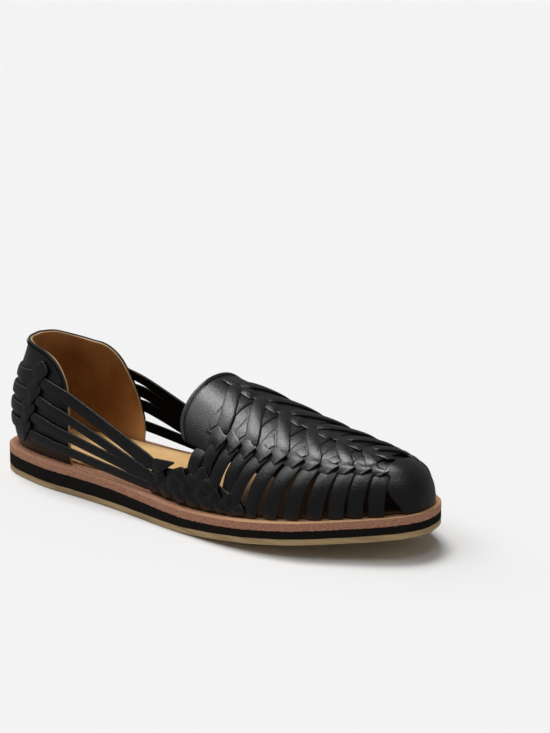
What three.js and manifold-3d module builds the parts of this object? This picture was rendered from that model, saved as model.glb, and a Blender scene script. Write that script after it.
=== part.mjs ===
// Woven leather huarache sandal, right foot.
// Frame: +X from heel to toe, +Y to the inner side of the foot, +Z up, millimetres.
// The origin is under the middle of the sandal, on the plane that it stands on.

import * as THREE from 'three';
import Module from 'manifold-3d';

const wasm = await Module();
wasm.setup();

// Driving sizes of the sole
const shoeLength = 300;
const ballWidth = 105;
const heelWidth = 71.5;
const outsoleThickness = 3.5;
const midsoleHeelThickness = 7.5;
const midsoleToeThickness = 4.1;
const weltThickness = 4.8;
const insoleThickness = 1.5;
const toeSpring = 13.6;
const layerGap = 0.3;
const insoleClearance = 1.6;

// Driving sizes of the upper
const weltLedge = 5.5;
const toeLedge = 3;
const wallThickness = 1.8;
const strapThickness = 1.5;
const strapStandsProud = 0.9;
const collarHeight = 66.2;
const heelBulge = 3;
const collarLeanBack = 11;
const collarLeanSide = 5;
const sideBulge = 1.5;
const counterFrontOuter = 70;
const counterFrontInner = 74;
const instepRise = 62;
const toeRise = 24;
const toeDomeLength = 36;
const heelStrapWidth = 8;
const barWidth = 7.5;
const crossStrapWidth = 7;
const linkLength = 8.6;
const linkWidth = 9;
const ridgeLinkLength = 8.4;
const ridgeLinkWidth = 6;
const postWidth = 8.5;
const braidCellLength = 9.5;
const braidCellWidth = 6.4;
const tongueThickness = 2;

// Heights of folds over the wall, at their edges and along their middle
const linkEdgeLift = 0.8;
const linkCrownLift = 1.8;
const braidEdgeLift = 0.5;
const braidCrownLift = 1.3;
const postEdgeLift = 1;
const postCrownLift = 1.9;
const barLift = 0.3;
const capLift = 0.55;

// How far a woven edge runs under the toe cap, and a crossing strap under its link
const capOverlap = 1;
const crossStrapTuck = 2;
const barTuckShare = 0.03;

// Turn of the folds against the run of the vamp, in radians
const linkTurn = 0.5;
const braidTurn = 0.7;

// Where the sole starts to lift towards the toe, and how its layers taper, as shares of the length
const springStart = 0.56;
const springCurve = 1.12;
const taperStart = 0.3;
const taperEnd = 0.69;
const waistStart = 0.3;
const waistEnd = 0.62;

// Roundness of the cross sections and of the toe, as exponents of a rounded square
const sectionRoundness = 2.3;
const toeRoundness = 3.3;

// Sole outline: along is a share of the length, outer and inner are shares of the local width
const outlineRows = [
  { along: 0, outer: 0, inner: 0 },
  { along: 0.012, outer: 0.205, inner: 0.24 },
  { along: 0.05, outer: 0.35, inner: 0.39 },
  { along: 0.11, outer: 0.44, inner: 0.47 },
  { along: 0.18, outer: 0.503, inner: 0.495 },
  { along: 0.26, outer: 0.53, inner: 0.47 },
  { along: 0.34, outer: 0.55, inner: 0.438 },
  { along: 0.42, outer: 0.53, inner: 0.417 },
  { along: 0.5, outer: 0.506, inner: 0.421 },
  { along: 0.58, outer: 0.491, inner: 0.445 },
  { along: 0.66, outer: 0.504, inner: 0.488 },
  { along: 0.74, outer: 0.497, inner: 0.505 },
  { along: 0.82, outer: 0.439, inner: 0.472 },
  { along: 0.89, outer: 0.33, inner: 0.402 },
  { along: 0.945, outer: 0.229, inner: 0.3 },
  { along: 0.982, outer: 0.134, inner: 0.186 },
  { along: 1, outer: 0, inner: 0 },
];

// Ridge of the vamp: rise is a share of the way from the toe's height to the instep's
const ridgeRows = [
  { along: 0.4, rise: 1.2 },
  { along: 0.48, rise: 1.1 },
  { along: 0.54, rise: 1 },
  { along: 0.6, rise: 0.85 },
  { along: 0.667, rise: 0.65 },
  { along: 0.75, rise: 0.41 },
  { along: 0.83, rise: 0.24 },
  { along: 0.9, rise: 0.11 },
  { along: 0.98, rise: 0 },
];

// Heel wall: up is a share of the collar height, bulge and lean are shares of the named sizes
const heelRows = [
  { up: 0, bulge: 0, lean: 0 },
  { up: 0.13, bulge: 0.7, lean: 0 },
  { up: 0.3, bulge: 1, lean: 0 },
  { up: 0.5, bulge: 0.75, lean: 0.08 },
  { up: 0.7, bulge: 0.3, lean: 0.34 },
  { up: 0.85, bulge: 0.1, lean: 0.66 },
  { up: 1, bulge: 0, lean: 1 },
];

// Collar rim: around is 0 at the back and 1 at the front edge, its rises are shares of the collar height
const rimRows = [
  { around: 0, outer: 1, inner: 1 },
  { around: 0.3, outer: 0.995, inner: 0.98 },
  { around: 0.5, outer: 0.985, inner: 0.93 },
  { around: 0.65, outer: 0.96, inner: 0.895 },
  { around: 0.77, outer: 0.93, inner: 0.862 },
  { around: 0.86, outer: 0.875, inner: 0.75 },
  { around: 0.93, outer: 0.78, inner: 0.525 },
  { around: 0.97, outer: 0.67, inner: 0.34 },
  { around: 1, outer: 0.42, inner: 0.14 },
];

// Straps round the heel: heights as shares of the collar height, reach as a share of the length
const heelStrapRows = [
  { back: 0.69, post: 0.68, front: 0.6, end: 0.315, reach: 0.482 },
  { back: 0.53, post: 0.52, front: 0.425, end: 0.19, reach: 0.475 },
  { back: 0.37, post: 0.345, front: 0.265, end: 0.11, reach: 0.475 },
  { back: 0.22, post: 0.165, front: 0.125, end: 0.055, reach: 0.475 },
];

// Plaited post beside the heel: up is a share of the collar height, around as on the rim
const postRows = [
  { up: 0.84, around: 0.76 },
  { up: 0.68, around: 0.72 },
  { up: 0.53, around: 0.68 },
  { up: 0.38, around: 0.635 },
  { up: 0.25, around: 0.6 },
  { up: 0.12, around: 0.57 },
];

// Bars and chain links: link and foot are shares of the length, side and end run from ridge to sole
const barRows = [
  { link: 0.58, side: 0.645, foot: 0.573, end: 0.86 },
  { link: 0.616, side: 0.52, foot: 0.606, end: 0.8 },
  { link: 0.648, side: 0.5, foot: 0.628, end: 0.93 },
  { link: 0.68, side: 0.49, foot: 0.664, end: 0.86 },
  { link: 0.713, side: 0.47, foot: 0.676, end: 1 },
  { link: 0.742, side: 0.445, foot: 0.72, end: 1 },
  { link: 0.776, side: 0.435, foot: 0.761, end: 1 },
  { link: 0.806, side: 0.43, foot: 0.802, end: 1 },
  { link: 0.838, side: 0.425, foot: 0.841, end: 1 },
  { link: 0.865, side: 0.4, foot: 0.875, end: 1 },
  { link: 0.892, side: 0.37, foot: 0.905, end: 1 },
  { link: 0.92, side: 0.35, foot: 0.937, end: 1 },
];

// Links along the ridge, as shares of the length
const ridgeLinkRows = [0.56, 0.598, 0.63, 0.656, 0.683, 0.713, 0.741, 0.776, 0.813, 0.847, 0.877, 0.905];

// Front edge of the tongue and rear edge of the toe cap: side runs from ridge to sole
const seamRows = [
  { side: 0, throat: 0.52, tongueFront: 0.562, capRear: 0.931 },
  { side: 0.2, throat: 0.521, tongueFront: 0.574, capRear: 0.932 },
  { side: 0.4, throat: 0.52, tongueFront: 0.59, capRear: 0.937 },
  { side: 0.55, throat: 0.524, tongueFront: 0.6, capRear: 0.943 },
  { side: 0.7, throat: 0.55, tongueFront: 0.6, capRear: 0.953 },
  { side: 0.85, throat: 0.58, tongueFront: 0.6, capRear: 0.966 },
  { side: 1, throat: 0.6, tongueFront: 0.6, capRear: 0.976 },
];

// How far the tongue reaches down each side, and the room that it keeps to the woven wall
const tongueSide = 0.6;
const tongueClearance = 0.35;

// Side braid: its ends as shares of the length, its top edge from ridge to sole
const braidStart = 0.465;
const braidEnd = 0.7;
const braidTop = 0.8;
const braidTopAtEnd = 0.9;
const braidCellsAlong = 5;
const braidCellsUp = 2;

const braidCellStart = 0.45;
const braidCellShift = 0.5;
const braidCellLow = 0.3;
const braidCellStep = 0.42;

// Places round the heel where a strap starts to sink, passes the post and turns free
const strapSinkAround = 0.5;
const strapPostAround = 0.68;
const strapFreeAround = 0.86;

// Where the heel wall's shape turns from its back to its sides
const sideShapeStart = 0.15;
const sideShapeFull = 0.6;

// Size of a post's crossing against its width, round the heel and upwards
const postSpread = 0.55;
const postReach = 1.25;

// Faces along and across each form
const soleStations = 32;
const soleEndShare = 0.012;
const wallColumns = 12;
const wallRows = 4;
const strapStations = 8;
const weaveColumns = 6;
const weaveRows = 5;
const capColumns = 10;
const capRows = 4;
const braidColumns = 5;
const tongueColumns = 10;
const tongueRows = 4;
const stripRows = 3;
const weavePasses = 3;

// Colours, roughness and metalness of the pieces
const finishes = {
  outsole: { color: 0x96784f, roughness: 0.75, metalness: 0 },
  midsole: { color: 0x1d1a18, roughness: 0.9, metalness: 0 },
  welt: { color: 0x8c6a55, roughness: 0.8, metalness: 0 },
  insole: { color: 0xc39a63, roughness: 0.65, metalness: 0 },
  upper: { color: 0x161616, roughness: 0.42, metalness: 0 },
  tongue: { color: 0x1b1b1b, roughness: 0.4, metalness: 0 },
};

// Value of a table's column, with smooth joins between rows
function tableValue(rows, key, column, at) {
  const last = rows.length - 1;
  if (at <= rows[0][key]) return rows[0][column];
  if (at >= rows[last][key]) return rows[last][column];
  let i = 0;
  while (rows[i + 1][key] < at) i += 1;
  const before = rows[Math.max(i - 1, 0)];
  const from = rows[i];
  const to = rows[i + 1];
  const after = rows[Math.min(i + 2, last)];
  const span = to[key] - from[key];
  const u = (at - from[key]) / span;
  const slope = (a, b) => (b[key] === a[key] ? 0 : (b[column] - a[column]) / (b[key] - a[key]));
  const m0 = slope(before, to) * span;
  const m1 = slope(from, after) * span;
  const u2 = u * u;
  const u3 = u2 * u;
  return (2 * u3 - 3 * u2 + 1) * from[column] + (u3 - 2 * u2 + u) * m0
    + (3 * u2 - 2 * u3) * to[column] + (u3 - u2) * m1;
}

function clamp01(value) {
  return Math.min(Math.max(value, 0), 1);
}

function smoothStep(from, to, at) {
  const u = clamp01((at - from) / (to - from));
  return u * u * (3 - 2 * u);
}

// The outline is read by an angle that is even round the toe and the heel
function angleOf(along) {
  return Math.acos(1 - 2 * clamp01(along));
}

const outlineByAngle = outlineRows.map((row) => ({ ...row, angle: angleOf(row.along) }));

function localWidth(along) {
  return heelWidth + (ballWidth - heelWidth) * smoothStep(waistStart, waistEnd, along);
}

// Half width of the sole at a share of the length, on the outer side (-1) or the inner side (+1)
function soleHalfWidth(along, side) {
  const column = side < 0 ? 'outer' : 'inner';
  return tableValue(outlineByAngle, 'angle', column, angleOf(along)) * localWidth(along);
}

function groundLift(x) {
  const start = springStart * shoeLength;
  const u = clamp01((x - start) / (shoeLength - start));
  return toeSpring * u ** springCurve;
}

function midsoleThickness(x) {
  const u = smoothStep(taperStart, taperEnd, x / shoeLength);
  return midsoleHeelThickness + (midsoleToeThickness - midsoleHeelThickness) * u;
}

function outsoleTop(x) {
  return groundLift(x) + outsoleThickness;
}

function midsoleTop(x) {
  return outsoleTop(x) + midsoleThickness(x);
}

function weltTop(x) {
  return midsoleTop(x) + weltThickness;
}

// An outline drawn in from the edge of the sole keeps the upper's narrower ledge at the toe
function toeInset(inset) {
  return inset - (weltLedge - toeLedge) * clamp01(inset / weltLedge);
}

function insetX(along, inset) {
  return inset + (shoeLength - inset - toeInset(inset)) * along;
}

function insetAlong(x, inset) {
  return clamp01((x - inset) / (shoeLength - inset - toeInset(inset)));
}

function insetHalfWidth(along, side, inset) {
  return soleHalfWidth(along, side) * (1 - 2 * inset / localWidth(along));
}

// Closed solid over a grid: place gives the outer (0) and the inner (1) point at u and v
function gridGeometry(columns, rows, place) {
  const positions = [];
  const indices = [];
  const layerSize = (columns + 1) * (rows + 1);
  for (let layer = 0; layer < 2; layer += 1) {
    for (let j = 0; j <= rows; j += 1) {
      for (let i = 0; i <= columns; i += 1) {
        positions.push(...place(i / columns, j / rows, layer).toArray());
      }
    }
  }
  const at = (i, j, layer) => layer * layerSize + j * (columns + 1) + i;
  const quad = (a, b, c, d) => indices.push(a, b, c, a, c, d);
  for (let j = 0; j < rows; j += 1) {
    for (let i = 0; i < columns; i += 1) {
      quad(at(i, j, 0), at(i + 1, j, 0), at(i + 1, j + 1, 0), at(i, j + 1, 0));
      quad(at(i, j, 1), at(i, j + 1, 1), at(i + 1, j + 1, 1), at(i + 1, j, 1));
    }
  }
  for (let i = 0; i < columns; i += 1) {
    quad(at(i, 0, 1), at(i + 1, 0, 1), at(i + 1, 0, 0), at(i, 0, 0));
    quad(at(i, rows, 0), at(i + 1, rows, 0), at(i + 1, rows, 1), at(i, rows, 1));
  }
  for (let j = 0; j < rows; j += 1) {
    quad(at(0, j, 0), at(0, j + 1, 0), at(0, j + 1, 1), at(0, j, 1));
    quad(at(columns, j, 1), at(columns, j + 1, 1), at(columns, j + 1, 0), at(columns, j, 0));
  }
  return { positions, indices };
}

// Volume enclosed by an indexed mesh, below zero where its faces point inwards
function signedVolume({ positions, indices }) {
  const a = new THREE.Vector3();
  const b = new THREE.Vector3();
  const c = new THREE.Vector3();
  let sum = 0;
  for (let i = 0; i < indices.length; i += 3) {
    a.fromArray(positions, indices[i] * 3);
    b.fromArray(positions, indices[i + 1] * 3);
    c.fromArray(positions, indices[i + 2] * 3);
    sum += a.dot(b.cross(c));
  }
  return sum / 6;
}

function solidFrom(grid) {
  const { positions, indices } = grid;
  if (signedVolume(grid) < 0) {
    for (let i = 0; i < indices.length; i += 3) {
      [indices[i + 1], indices[i + 2]] = [indices[i + 2], indices[i + 1]];
    }
  }
  const mesh = new wasm.Mesh({
    numProp: 3,
    vertProperties: new Float32Array(positions),
    triVerts: new Uint32Array(indices),
  });
  return new wasm.Manifold(mesh);
}

function gridSolid(columns, rows, place) {
  return solidFrom(gridGeometry(columns, rows, place));
}

function joined(solids) {
  return solids.reduce((whole, solid) => whole.add(solid));
}

// Point on the vamp's outer surface: side runs from -1 at the outer sole edge over the ridge to +1
function vampSurface(x, side) {
  const along = insetAlong(x, weltLedge);
  const floor = weltTop(x) + layerGap;
  const domeStart = shoeLength - toeLedge - toeDomeLength;
  const dome = clamp01((x - domeStart) / toeDomeLength);
  const domeShare = (1 - dome ** toeRoundness) ** (1 / toeRoundness);
  const rise = toeRise + (instepRise - toeRise) * tableValue(ridgeRows, 'along', 'rise', x / shoeLength);
  const angle = Math.abs(side) * Math.PI / 2;
  const across = Math.sin(angle) ** (2 / sectionRoundness);
  const up = Math.max(Math.cos(angle), 0) ** (2 / sectionRoundness);
  const half = insetHalfWidth(along, side, weltLedge);
  return new THREE.Vector3(x, Math.sign(side) * half * across, floor + rise * domeShare * up);
}

// Side position on the vamp wall at a height above the welt
function vampSideAtRise(x, rise) {
  const ridge = vampSurface(x, 0).z - weltTop(x);
  const up = clamp01(rise / ridge);
  return 1 - Math.asin(up ** (sectionRoundness / 2)) * 2 / Math.PI;
}

// Small steps that measure the run of a surface
const probe = 0.5;
const sideProbe = 0.01;
const toeMargin = 0.05;
const leanProbe = 0.02;

function vampNormal(x, side) {
  const reach = Math.min(x, shoeLength - toeLedge - probe - toeMargin);
  const low = Math.max(side - sideProbe, -1);
  const high = Math.min(side + sideProbe, 1);
  const alongStep = vampSurface(reach + probe, side).sub(vampSurface(reach - probe, side));
  const sideStep = vampSurface(reach, high).sub(vampSurface(reach, low));
  return alongStep.cross(sideStep).normalize();
}

// Point at a distance outside the vamp's surface
function onVamp(x, side, lift) {
  return vampSurface(x, side).addScaledVector(vampNormal(x, side), lift);
}

// Strip of leather laid on the vamp: ends are x and side, width in millimetres, lifts at its faces
function vampStrip(from, to, width, outerLift, innerLift, rows) {
  return gridSolid(1, rows, (u, v, layer) => {
    const x = from.x + (to.x - from.x) * v;
    const side = from.side + (to.side - from.side) * v;
    const stretch = stripStretch(from, to, x, side);
    const lift = layer === 0 ? outerLift : innerLift;
    return onVamp(x + (u - 0.5) * width * stretch, side, lift);
  });
}

// A strip that leans keeps its true width across its own run
function stripStretch(from, to, x, side) {
  const here = vampSurface(x, side);
  const next = vampSurface(x + (to.x - from.x) * leanProbe, side + (to.side - from.side) * leanProbe);
  const run = next.sub(here);
  const sideways = Math.hypot(run.y, run.z);
  return Math.hypot(run.x, sideways) / Math.max(sideways, run.length() / 3);
}

// Raised pad where a strip crosses over: it is highest along its middle
function vampPad(x, side, length, width, turn, edgeLift, crownLift) {
  const half = insetHalfWidth(insetAlong(x, weltLedge), side || 1, weltLedge);
  const before = vampSurface(x, side - sideProbe);
  const girth = before.distanceTo(vampSurface(x, side + sideProbe)) / (2 * sideProbe);
  return gridSolid(2, 1, (u, v, layer) => {
    const a = (u - 0.5) * length;
    const b = (v - 0.5) * width;
    const turned = a * Math.cos(turn) - b * Math.sin(turn);
    const across = a * Math.sin(turn) + b * Math.cos(turn);
    const crown = Math.sin(u * Math.PI);
    const lift = layer === 0 ? edgeLift + (crownLift - edgeLift) * crown : -wallThickness / 2;
    return onVamp(x + turned, side + across / Math.max(girth, half), lift);
  });
}

// Counter that wraps the heel
const counterFront = { outer: counterFrontOuter, inner: counterFrontInner };

function counterEdgeAngle(around) {
  const front = around < 0 ? counterFront.outer : counterFront.inner;
  return angleOf(insetAlong(front, weltLedge));
}

// Foot of the heel wall in plan, at a share of the way round from the back to the front edge
function counterFoot(around) {
  const angle = Math.abs(around) * counterEdgeAngle(around);
  const along = (1 - Math.cos(angle)) / 2;
  const side = around < 0 ? -1 : 1;
  return new THREE.Vector2(insetX(along, weltLedge), side * insetHalfWidth(along, side, weltLedge));
}

const aroundProbe = 0.02;

function counterOutward(around) {
  const run = counterFoot(around + aroundProbe).sub(counterFoot(around - aroundProbe));
  return new THREE.Vector2(-run.y, run.x).normalize();
}

function counterPoint(around, up, lift) {
  const foot = counterFoot(around);
  const outward = counterOutward(around);
  const sideShare = smoothStep(sideShapeStart, sideShapeFull, Math.abs(around));
  const bulge = heelBulge + (sideBulge - heelBulge) * sideShare;
  const lean = collarLeanBack + (collarLeanSide - collarLeanBack) * sideShare;
  const out = bulge * tableValue(heelRows, 'up', 'bulge', up);
  const offset = out - lean * tableValue(heelRows, 'up', 'lean', up);
  foot.addScaledVector(outward, offset + lift);
  return new THREE.Vector3(foot.x, foot.y, weltTop(foot.x) + layerGap + up * collarHeight);
}

function counterWall() {
  return gridSolid(wallColumns, wallRows, (u, v, layer) => {
    const around = u * 2 - 1;
    const rim = tableValue(rimRows, 'around', around < 0 ? 'outer' : 'inner', Math.abs(around));
    return counterPoint(around, v * rim, layer === 0 ? 0 : -wallThickness);
  });
}

// Height of a heel strap on the counter, from the back past the post to the front edge
function heelStrapUp(row, around) {
  const rows = [
    { at: 0, up: row.back },
    { at: strapSinkAround, up: row.back },
    { at: strapPostAround, up: row.post },
    { at: 1, up: row.front },
  ];
  return tableValue(rows, 'at', 'up', Math.abs(around));
}

function heelStrapOnCounter(row) {
  const half = heelStrapWidth / collarHeight / 2;
  return gridSolid(1, strapStations, (u, v, layer) => {
    const around = v * 2 - 1;
    const up = heelStrapUp(row, around) + (u * 2 - 1) * half;
    return counterPoint(around, up, layer === 0 ? strapStandsProud : -wallThickness / 2);
  });
}

// The free part of a heel strap, from the counter's front edge to the braid
function freeStrap(row, side) {
  const half = heelStrapWidth / 2;
  const reachX = row.reach * shoeLength;
  const endSide = vampSideAtRise(reachX, row.end * collarHeight);
  const points = [
    counterPoint(side * strapFreeAround, heelStrapUp(row, strapFreeAround), strapStandsProud),
    counterPoint(side, row.front, strapStandsProud),
    onVamp(reachX, side * endSide, strapStandsProud),
  ];
  const edge = counterPoint(side, row.front, 0).sub(counterPoint(side, row.front, 1)).normalize();
  const outStart = edge.negate();
  const outEnd = vampNormal(reachX, side * endSide);
  const flat = (points[2].x - points[1].x) / (points[2].x - points[0].x);
  return gridSolid(1, stripRows, (u, v, layer) => {
    const centre = v < 1 - flat
      ? points[0].clone().lerp(points[1], v / (1 - flat))
      : points[1].clone().lerp(points[2], (v - 1 + flat) / flat);
    const outward = outStart.clone().lerp(outEnd, v).normalize();
    const run = points[2].clone().sub(points[1]).normalize();
    const upward = outward.clone().cross(run).normalize();
    if (upward.z < 0) upward.negate();
    centre.addScaledVector(upward, (u * 2 - 1) * half);
    return centre.addScaledVector(outward, layer === 0 ? 0 : -strapThickness);
  });
}

// One crossing of the plaited post
function postPad(row, side) {
  const halfUp = postWidth / collarHeight / 2;
  const girth = counterPoint(row.around - aroundProbe, row.up, 0)
    .distanceTo(counterPoint(row.around + aroundProbe, row.up, 0)) / (2 * aroundProbe);
  return gridSolid(2, 2, (u, v, layer) => {
    const a = u - v;
    const b = u + v - 1;
    const around = side * (row.around + a * postWidth * postSpread / girth);
    const crown = Math.sin(u * Math.PI) * Math.sin(v * Math.PI);
    const lift = layer === 0 ? postEdgeLift + (postCrownLift - postEdgeLift) * crown : -wallThickness / 2;
    return counterPoint(around, row.up + b * halfUp * postReach, lift);
  });
}

// Woven top of the vamp between the two side chains, from the tongue to the toe cap
function wovenTop() {
  const chainSide = (x) => tableValue(barRows, 'link', 'side', x / shoeLength);
  return gridSolid(weaveColumns, weaveRows, (u, v, layer) => {
    const across = u * 2 - 1;
    let x = 0;
    let side = across * barRows[0].side;
    for (let pass = 0; pass < weavePasses; pass += 1) {
      const rear = tableValue(seamRows, 'side', 'tongueFront', Math.abs(side)) * shoeLength + tongueClearance;
      const front = tableValue(seamRows, 'side', 'capRear', Math.abs(side)) * shoeLength + capOverlap;
      x = rear + (front - rear) * v;
      side = across * chainSide(x);
    }
    return onVamp(x, side, layer === 0 ? 0 : -wallThickness);
  });
}

// Smooth cap over the toe
function toeCap() {
  const end = shoeLength - toeLedge;
  return gridSolid(capColumns, capRows, (u, v, layer) => {
    const side = u * 2 - 1;
    const rear = tableValue(seamRows, 'side', 'capRear', Math.abs(side)) * shoeLength;
    const share = Math.sin(v * Math.PI / 2);
    const x = rear + (end - rear) * share;
    const lift = layer === 0 ? capLift * Math.cos(v * Math.PI / 2) : -wallThickness;
    return onVamp(x, side, lift);
  });
}

function barAt(row, side) {
  const from = { x: row.link * shoeLength, side: side * (row.side - barTuckShare) };
  const to = { x: row.foot * shoeLength, side: side * row.end };
  return vampStrip(from, to, barWidth, barLift, -strapThickness, stripRows);
}

// Crossing straps lean back from every second link of the chain to the ridge
function crossStrapAt(index, side) {
  const row = barRows[index];
  const ridgeIndex = Math.min(index - 1, ridgeLinkRows.length - 1);
  const from = { x: row.link * shoeLength + crossStrapTuck, side: side * row.side };
  const to = { x: ridgeLinkRows[ridgeIndex] * shoeLength, side: 0 };
  return vampStrip(from, to, crossStrapWidth, strapStandsProud, -wallThickness / 2, stripRows);
}

function chainLink(row, side) {
  const x = row.link * shoeLength;
  return vampPad(x, side * row.side, linkLength, linkWidth, -side * linkTurn, linkEdgeLift, linkCrownLift);
}

function ridgeLink(along) {
  return vampPad(along * shoeLength, 0, ridgeLinkLength, ridgeLinkWidth, 0, linkEdgeLift, linkCrownLift);
}

// Braid along the welt that takes the ends of the heel straps and of the rear bars
function braidTopAt(along) {
  const share = clamp01((along - braidStart) / (braidEnd - braidStart));
  return braidTop + (braidTopAtEnd - braidTop) * share;
}

function braidWall(side) {
  return gridSolid(braidColumns, 2, (u, v, layer) => {
    const along = braidStart + (braidEnd - braidStart) * u;
    const top = braidTopAt(along);
    return onVamp(along * shoeLength, side * (top + (1 - top) * v), layer === 0 ? 0 : -wallThickness);
  });
}

function braidCells(side) {
  const cells = [];
  const pitch = (braidEnd - braidStart) / braidCellsAlong;
  for (let i = 0; i < braidCellsAlong; i += 1) {
    for (let j = 0; j < braidCellsUp; j += 1) {
      const along = braidStart + pitch * (i + braidCellStart + braidCellShift * j);
      const top = braidTopAt(along);
      const place = side * (top + (1 - top) * (braidCellLow + braidCellStep * j));
      const turn = side * braidTurn;
      const x = along * shoeLength;
      cells.push(vampPad(x, place, braidCellLength, braidCellWidth, turn, braidEdgeLift, braidCrownLift));
    }
  }
  return cells;
}

function upperSolid() {
  const pieces = [counterWall(), wovenTop(), toeCap()];
  heelStrapRows.forEach((row) => pieces.push(heelStrapOnCounter(row)));
  ridgeLinkRows.forEach((along) => pieces.push(ridgeLink(along)));
  [-1, 1].forEach((side) => {
    pieces.push(braidWall(side), ...braidCells(side));
    heelStrapRows.forEach((row) => pieces.push(freeStrap(row, side)));
    postRows.forEach((row) => pieces.push(postPad(row, side)));
    barRows.forEach((row) => pieces.push(barAt(row, side)));
    barRows.slice(1).forEach((row) => pieces.push(chainLink(row, side)));
    for (let index = 1; index < barRows.length; index += 2) {
      pieces.push(crossStrapAt(index, side));
    }
  });
  return joined(pieces);
}

// Smooth panel at the throat, held by the first woven strips; room makes the space that it needs
function tongueSolid(room) {
  const sideRoom = room / ballWidth;
  return gridSolid(tongueColumns, tongueRows, (u, v, layer) => {
    const side = (u * 2 - 1) * (tongueSide + sideRoom);
    const rear = tableValue(seamRows, 'side', 'throat', Math.abs(side)) * shoeLength - room;
    const front = tableValue(seamRows, 'side', 'tongueFront', Math.abs(side)) * shoeLength + room;
    const x = rear + (front - rear) * v;
    return onVamp(x, side, layer === 0 ? room : -tongueThickness - room);
  });
}

// Layer of the sole between two heights, with an outline drawn in from the sole's edge
function soleLayer(inset, bottom, top) {
  return gridSolid(1, soleStations, (u, v, layer) => {
    const along = (1 - Math.cos((soleEndShare + (1 - 2 * soleEndShare) * v) * Math.PI)) / 2;
    const x = insetX(along, inset);
    const side = u * 2 - 1;
    const y = side * insetHalfWidth(along, side, inset);
    return new THREE.Vector3(x, y, layer === 0 ? top(x) : bottom(x));
  });
}

function meshFrom(solid, name) {
  const data = solid.getMesh();
  const geometry = new THREE.BufferGeometry();
  geometry.setAttribute('position', new THREE.BufferAttribute(new Float32Array(data.vertProperties), 3));
  geometry.setIndex(new THREE.BufferAttribute(new Uint32Array(data.triVerts), 1));
  geometry.computeVertexNormals();
  const mesh = new THREE.Mesh(geometry, new THREE.MeshStandardMaterial(finishes[name]));
  mesh.name = name;
  return mesh;
}

function insoleBottom(x) {
  return weltTop(x) + layerGap;
}

const insoleInset = weltLedge + wallThickness + insoleClearance;

// Space of the sole under the upper, a little wider than the sole
const soleSpace = soleLayer(-weltLedge, midsoleTop, insoleBottom);

const solids = {
  outsole: soleLayer(0, groundLift, (x) => outsoleTop(x) - layerGap),
  midsole: soleLayer(0, outsoleTop, (x) => midsoleTop(x) - layerGap),
  welt: soleLayer(0, midsoleTop, weltTop),
  insole: soleLayer(insoleInset, insoleBottom, (x) => insoleBottom(x) + insoleThickness),
  tongue: tongueSolid(0),
  upper: upperSolid().subtract(soleSpace).subtract(tongueSolid(tongueClearance)),
};

const sandal = new THREE.Group();
Object.entries(solids).forEach(([name, solid]) => sandal.add(meshFrom(solid, name)));

// The origin is put under the middle of the whole sandal
const box = new THREE.Box3().setFromObject(sandal);
const middle = box.getCenter(new THREE.Vector3());
sandal.children.forEach((mesh) => mesh.position.set(-middle.x, -middle.y, -box.min.z));

export default sandal;
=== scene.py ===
"""Woven leather huarache sandal, right foot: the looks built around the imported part."""
import logging
import math
from dataclasses import dataclass, field
from enum import Enum
from typing import Callable

import bmesh
import bpy
import numpy as np
from mathutils import Matrix, Vector


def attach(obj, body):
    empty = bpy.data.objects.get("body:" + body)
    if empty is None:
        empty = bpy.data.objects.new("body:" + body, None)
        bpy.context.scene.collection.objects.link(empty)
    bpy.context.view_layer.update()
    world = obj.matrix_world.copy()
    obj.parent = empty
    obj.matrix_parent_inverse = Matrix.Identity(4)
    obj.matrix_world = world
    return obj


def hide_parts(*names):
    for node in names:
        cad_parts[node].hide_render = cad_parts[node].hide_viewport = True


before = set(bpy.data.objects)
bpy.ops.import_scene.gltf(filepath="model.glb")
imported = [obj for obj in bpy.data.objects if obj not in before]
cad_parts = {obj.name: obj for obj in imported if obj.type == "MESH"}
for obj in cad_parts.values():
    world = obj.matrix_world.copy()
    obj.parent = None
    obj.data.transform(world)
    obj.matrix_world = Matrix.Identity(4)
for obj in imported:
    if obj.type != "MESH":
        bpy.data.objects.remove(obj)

log = logging.getLogger("sandal")

Array = np.ndarray
Material = bpy.types.Material
Placed = tuple[Array, Array]
Place = Callable[[Array, Array], Placed]


@dataclass(frozen=True)
class Sizes:
    """Sizes of the sandal in millimetres, measured from the back of the heel."""

    length: float = 300.0
    ball_width: float = 105.0
    heel_width: float = 71.5
    outsole: float = 3.5
    midsole_heel: float = 7.5
    midsole_toe: float = 4.1
    welt: float = 4.8
    insole: float = 1.5
    toe_spring: float = 13.6
    layer_gap: float = 0.3
    ledge: float = 5.5
    toe_ledge: float = 3.0
    wall: float = 1.8
    strap: float = 1.5
    heel_band: float = 6.7
    proud: float = 0.9
    collar: float = 66.2
    heel_bulge: float = 3.0
    side_bulge: float = 1.5
    lean_back: float = 11.0
    lean_side: float = 5.0
    front_outer: float = 70.0
    front_inner: float = 74.0
    instep_rise: float = 62.0
    toe_rise: float = 24.0
    dome: float = 36.0
    section_roundness: float = 2.3
    toe_roundness: float = 3.3
    insole_room: float = 1.6
    tongue: float = 2.0


SIZES = Sizes()
MIDDLE = np.array([SIZES.length / 2, 0.0, 0.0])
PER_METRE = 1000.0
OUTER_SIDE = -1.0
INNER_SIDE = 1.0
SIDES = (OUTER_SIDE, INNER_SIDE)


def smooth_step(low: float, high: float, at: Array) -> Array:
    """Eases from 0 at the low value to 1 at the high one."""
    share = np.clip((at - low) / (high - low), 0, 1)
    return share * share * (3 - 2 * share)


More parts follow.
